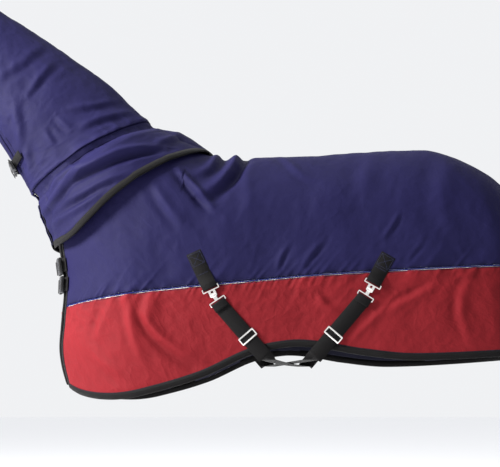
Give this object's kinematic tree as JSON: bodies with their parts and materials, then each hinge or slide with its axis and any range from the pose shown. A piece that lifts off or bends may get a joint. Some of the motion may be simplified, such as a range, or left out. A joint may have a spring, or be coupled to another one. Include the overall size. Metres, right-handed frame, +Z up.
{
  "type": "turnout rug",
  "caption": "Quilted turnout rug for a horse with a neck cover, chest and throat buckles, crossed surcingles and a tail flap.",
  "frame": {"origin": "at the withers on the middle line, on the rug's inner face", "axes": "+X towards the tail, near (left) side faces -Y, +Z up"},
  "size_m": [2.08, 0.6119, 1.4684],
  "materials": {
    "navy_cloth": "coated polyester weave, slight sheen",
    "red_cloth": "coated polyester weave, slight sheen",
    "piping": "cord covered in satin cloth",
    "binding_tape": "ribbed polypropylene tape",
    "webbing": "ribbed polypropylene webbing",
    "wadding": "polyester fill",
    "lining": "smooth nylon",
    "plastic": "moulded acetal, fine texture",
    "nickel": "bright nickel plate"
  },
  "bodies": {
    "rug": {"body_binding_near": "binding_tape", "body_binding_off": "binding_tape", "body_lining_near": "lining", "body_lining_off": "lining", "body_wadding_near": "wadding", "body_wadding_off": "wadding", "cape_binding_near": "binding_tape", "cape_binding_off": "binding_tape", "cape_lining": "lining", "cape_outer_near": "navy_cloth", "cape_outer_off": "navy_cloth", "chest_lower_plug": "plastic", "chest_lower_socket": "plastic", "chest_lower_strap_off": "webbing", "chest_lower_tab_near": "webbing", "chest_upper_plug": "plastic", "chest_upper_socket": "plastic", "chest_upper_strap_off": "webbing", "chest_upper_tab_near": "webbing", "gathered_band": "navy_cloth", "lower_panel_near": "red_cloth", "lower_panel_off": "red_cloth", "seam_piping_near": "piping", "seam_piping_off": "piping", "spine_tape": "binding_tape", "surcingle_front_patch": "webbing", "surcingle_front_plate": "nickel", "surcingle_front_strap": "webbing", "surcingle_rear_patch": "webbing", "surcingle_rear_plate": "nickel", "surcingle_rear_strap": "webbing", "upper_panel_near": "navy_cloth", "upper_panel_off": "navy_cloth"},
    "neck_cover": {"neck_binding": "navy_cloth", "neck_lining": "lining", "neck_outer_near": "navy_cloth", "neck_outer_off": "navy_cloth", "neck_wadding": "wadding", "throat_lower_plug": "plastic", "throat_lower_socket": "plastic", "throat_lower_strap_off": "webbing", "throat_lower_tab_near": "webbing", "throat_upper_plug": "plastic", "throat_upper_socket": "plastic", "throat_upper_strap_off": "webbing", "throat_upper_tab_near": "webbing"},
    "flap": {"tail_flap": "navy_cloth", "tail_flap_binding": "binding_tape"},
    "hook_front": {"surcingle_front_hook": "nickel"},
    "slider_front": {"surcingle_front_slider": "nickel"},
    "hook_rear": {"surcingle_rear_hook": "nickel"},
    "slider_rear": {"surcingle_rear_slider": "nickel"},
    "chest_lower_arm_lower": {"chest_lower_arm_lower": "plastic"},
    "chest_lower_arm_upper": {"chest_lower_arm_upper": "plastic"},
    "chest_upper_arm_lower": {"chest_upper_arm_lower": "plastic"},
    "chest_upper_arm_upper": {"chest_upper_arm_upper": "plastic"},
    "throat_lower_arm_lower": {"throat_lower_arm_lower": "plastic"},
    "throat_lower_arm_upper": {"throat_lower_arm_upper": "plastic"},
    "throat_upper_arm_lower": {"throat_upper_arm_lower": "plastic"},
    "throat_upper_arm_upper": {"throat_upper_arm_upper": "plastic"}
  },
  "joints": [
    {"name": "neck_tilt", "type": "hinge", "parent": "rug", "child": "neck_cover", "pos_m": [-0.401, 0, -0.015], "axis": [0, 1, 0], "range_deg": [-7, 6], "deforming": ["gathered_band"]},
    {"name": "flap_lift", "type": "hinge", "parent": "rug", "child": "flap", "pos_m": [1.101, 0, -0.1151], "axis": [0, -1, 0], "range_deg": [0, 75]},
    {"name": "hook_front_slide", "type": "slide", "parent": "rug", "child": "hook_front", "axis": [-0.4226, 0, 0.9063], "range_m": [0, 0.006], "deforming": ["surcingle_front_strap"]},
    {"name": "slider_front_slide", "type": "slide", "parent": "rug", "child": "slider_front", "axis": [0.6561, 0, -0.7547], "range_m": [-0.045, 0]},
    {"name": "hook_rear_slide", "type": "slide", "parent": "rug", "child": "hook_rear", "axis": [0.5, 0, 0.866], "range_m": [0, 0.006], "deforming": ["surcingle_rear_strap"]},
    {"name": "slider_rear_slide", "type": "slide", "parent": "rug", "child": "slider_rear", "axis": [-0.6561, 0, -0.7547], "range_m": [-0.045, 0]},
    {"name": "chest_upper_arm_upper_press", "type": "hinge", "parent": "rug", "child": "chest_upper_arm_upper", "pos_m": [-0.51061, -0.07315, -0.38605], "axis": [-0.9335, -0.3165, -0.1689], "range_deg": [0, 9], "stiffness_Nm_per_rad": 0.6},
    {"name": "chest_upper_arm_lower_press", "type": "hinge", "parent": "rug", "child": "chest_upper_arm_lower", "pos_m": [-0.50454, -0.07109, -0.42351], "axis": [0.9335, 0.3165, 0.1689], "range_deg": [0, 9], "stiffness_Nm_per_rad": 0.6},
    {"name": "chest_lower_arm_upper_press", "type": "hinge", "parent": "rug", "child": "chest_lower_arm_upper", "pos_m": [-0.4985, -0.07215, -0.45132], "axis": [-0.9493, -0.3142, -0.0142], "range_deg": [0, 9], "stiffness_Nm_per_rad": 0.6},
    {"name": "chest_lower_arm_lower_press", "type": "hinge", "parent": "rug", "child": "chest_lower_arm_lower", "pos_m": [-0.49799, -0.07198, -0.48932], "axis": [0.9493, 0.3142, 0.0142], "range_deg": [0, 9], "stiffness_Nm_per_rad": 0.6},
    {"name": "throat_lower_arm_upper_press", "type": "hinge", "parent": "neck_cover", "child": "throat_lower_arm_upper", "pos_m": [-0.71354, -0.03115, -0.01926], "axis": [-0.8251, -0.2158, -0.5221], "range_deg": [0, 9], "stiffness_Nm_per_rad": 0.6},
    {"name": "throat_lower_arm_lower_press", "type": "hinge", "parent": "neck_cover", "child": "throat_lower_arm_lower", "pos_m": [-0.70156, -0.03241, -0.03767], "axis": [0.8251, 0.2158, 0.5221], "range_deg": [0, 9], "stiffness_Nm_per_rad": 0.6},
    {"name": "throat_upper_arm_upper_press", "type": "hinge", "parent": "neck_cover", "child": "throat_upper_arm_upper", "pos_m": [-0.83113, -0.02862, 0.16608], "axis": [-0.8304, -0.1899, -0.5239], "range_deg": [0, 9], "stiffness_Nm_per_rad": 0.6},
    {"name": "throat_upper_arm_lower_press", "type": "hinge", "parent": "neck_cover", "child": "throat_upper_arm_lower", "pos_m": [-0.81918, -0.0301, 0.14767], "axis": [0.8304, 0.1899, 0.5239], "range_deg": [0, 9], "stiffness_Nm_per_rad": 0.6}
  ],
  "couplings": [
    {"joint": "chest_upper_arm_lower_press", "follows": "chest_upper_arm_upper_press", "ratio": 1},
    {"joint": "chest_lower_arm_lower_press", "follows": "chest_lower_arm_upper_press", "ratio": 1},
    {"joint": "throat_lower_arm_lower_press", "follows": "throat_lower_arm_upper_press", "ratio": 1},
    {"joint": "throat_upper_arm_lower_press", "follows": "throat_upper_arm_upper_press", "ratio": 1}
  ]
}
